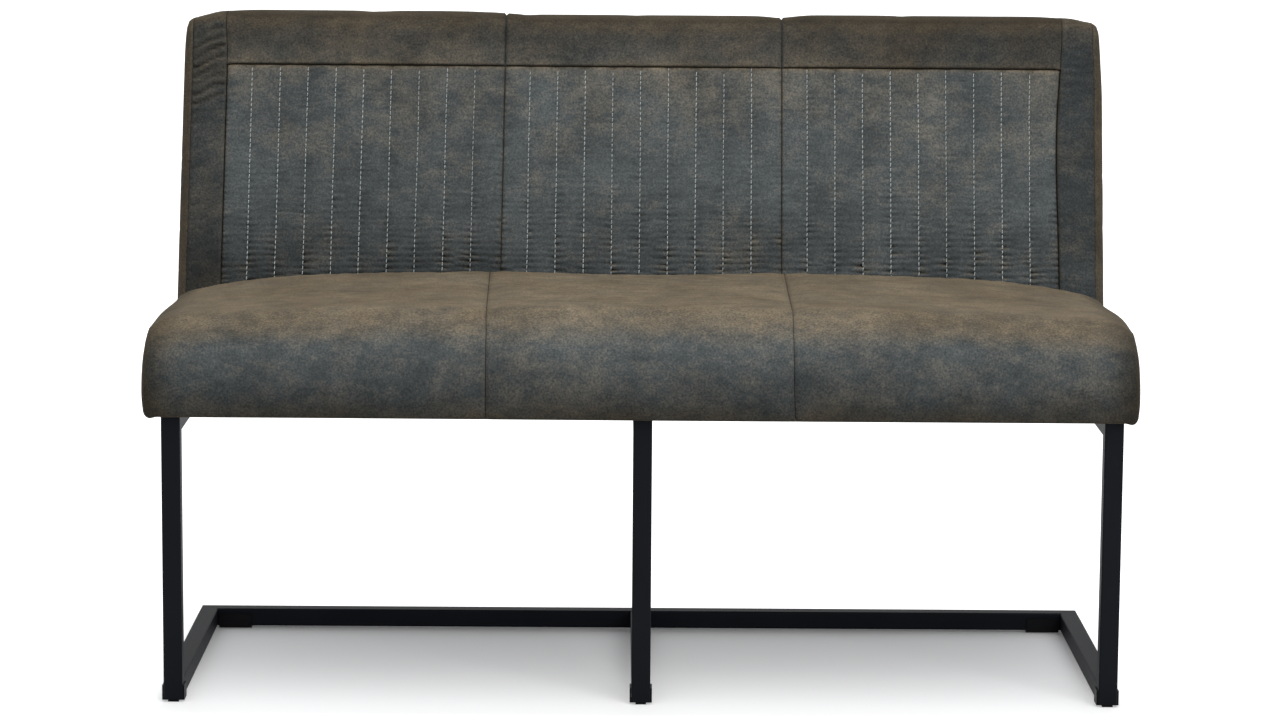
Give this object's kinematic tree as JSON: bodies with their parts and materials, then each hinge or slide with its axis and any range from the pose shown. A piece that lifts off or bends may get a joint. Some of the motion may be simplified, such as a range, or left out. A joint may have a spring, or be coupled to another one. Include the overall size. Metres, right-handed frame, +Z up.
{
  "type": "dining banquette",
  "caption": "Free-standing dining bench with a channel-stitched reclined back and panelled seat in faux nubuck, on a black square-tube cantilever frame.",
  "frame": {"origin": "on the floor, under the middle of the bench's box", "axes": "+X along the bench to the sitter's left, +Y from the seat's front to its back, +Z up"},
  "size_m": [1.3, 0.6, 0.875],
  "materials": {
    "powder_coated_steel": "satin",
    "black_plastic": "matte",
    "plywood": "matte",
    "zinc_steel": "satin",
    "felt": "matte",
    "lining": "matte",
    "foam": "matte",
    "upholstery": "matte"
  },
  "bodies": {
    "root": {"floor_rail_left": "powder_coated_steel", "floor_rail_middle": "powder_coated_steel", "floor_rail_right": "powder_coated_steel", "front_leg_left": "powder_coated_steel", "front_leg_middle": "powder_coated_steel", "front_leg_right": "powder_coated_steel", "seat_arm_left": "powder_coated_steel", "seat_arm_middle": "powder_coated_steel", "seat_arm_right": "powder_coated_steel", "back_upright_left": "powder_coated_steel", "back_upright_middle": "powder_coated_steel", "back_upright_right": "powder_coated_steel", "rear_floor_rail": "powder_coated_steel", "cross_rail_left": "powder_coated_steel", "cross_rail_right": "powder_coated_steel", "front_glide_left": "black_plastic", "front_glide_middle": "black_plastic", "front_glide_right": "black_plastic", "rear_glide_left": "black_plastic", "rear_glide_right": "black_plastic", "upright_caps": "black_plastic", "seat_front_rail": "plywood", "seat_rear_rail": "plywood", "seat_bearer_left": "plywood", "seat_bearer_middle": "plywood", "seat_bearer_right": "plywood", "back_board": "plywood", "seat_bolts": "zinc_steel", "seat_washers": "zinc_steel", "seat_tee_nuts": "zinc_steel", "back_screws": "zinc_steel", "front_spring_clips": "zinc_steel", "rear_spring_clips": "zinc_steel", "seat_springs": "zinc_steel", "spring_felt": "felt", "seat_dust_cover": "lining", "back_lining": "lining", "seat_foam": "foam", "back_front_foam": "foam", "back_top_roll": "foam", "back_rear_foam": "foam", "seat_cover_left": "upholstery", "seat_cover_middle": "upholstery", "seat_cover_right": "upholstery", "quilted_panel_left": "upholstery", "quilted_panel_middle": "upholstery", "quilted_panel_right": "upholstery", "heading_panel_left": "upholstery", "heading_panel_middle": "upholstery", "heading_panel_right": "upholstery", "rear_panel_left": "upholstery", "rear_panel_middle": "upholstery", "rear_panel_right": "upholstery", "end_band_left": "upholstery", "end_band_right": "upholstery", "side_panel_left": "upholstery", "side_panel_right": "upholstery"}
  },
  "joints": []
}
